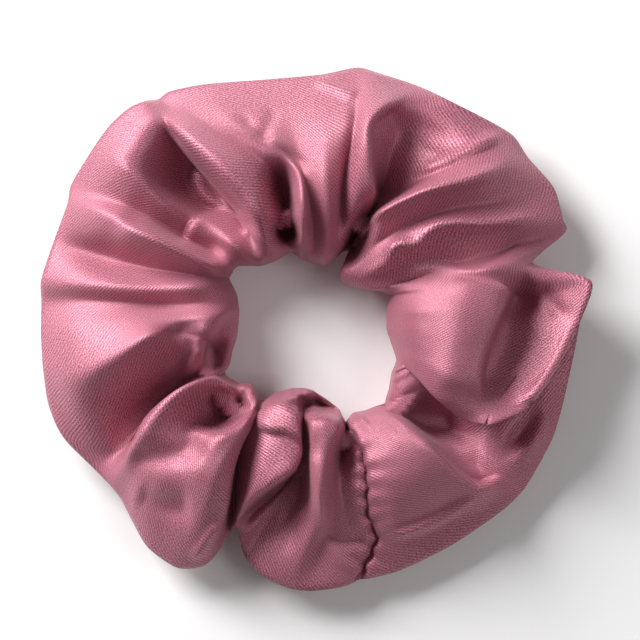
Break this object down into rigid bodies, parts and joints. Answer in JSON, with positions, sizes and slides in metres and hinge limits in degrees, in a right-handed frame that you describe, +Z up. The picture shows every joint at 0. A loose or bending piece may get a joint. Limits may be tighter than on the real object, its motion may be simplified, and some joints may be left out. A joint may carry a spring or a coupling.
{
  "type": "scrunchie",
  "caption": "Satin scrunchie: a sewn tube of satin gathered on a hidden loop of flat elastic, closed by a puckered seam.",
  "frame": {"origin": "middle of the relaxed ring, on the surface that it lies on", "axes": "+Z up through the hair opening, -Y towards the closing seam, +X to its right seen from above"},
  "size_m": [0.11, 0.105, 0.026],
  "materials": {
    "satin": "dusty rose satin",
    "elastic": "braided white elastic",
    "thread": "spun polyester thread"
  },
  "bodies": {
    "seam_half": {"sleeve_left_end": "satin", "sleeve_right_end": "satin", "elastic_inner_end": "elastic", "elastic_outer_end": "elastic", "elastic_lap_stitching": "thread", "long_seam_stitching_left": "thread", "long_seam_stitching_right": "thread", "closing_seam_stitching": "thread"},
    "far_half": {"sleeve_far_half": "satin", "elastic_far_half": "elastic", "long_seam_stitching_far": "thread"}
  },
  "joints": [
    {"name": "stretch", "type": "slide", "parent": "seam_half", "child": "far_half", "axis": [0, 1, 0], "range_m": [0, 0.05], "stiffness_N_per_m": 120}
  ]
}
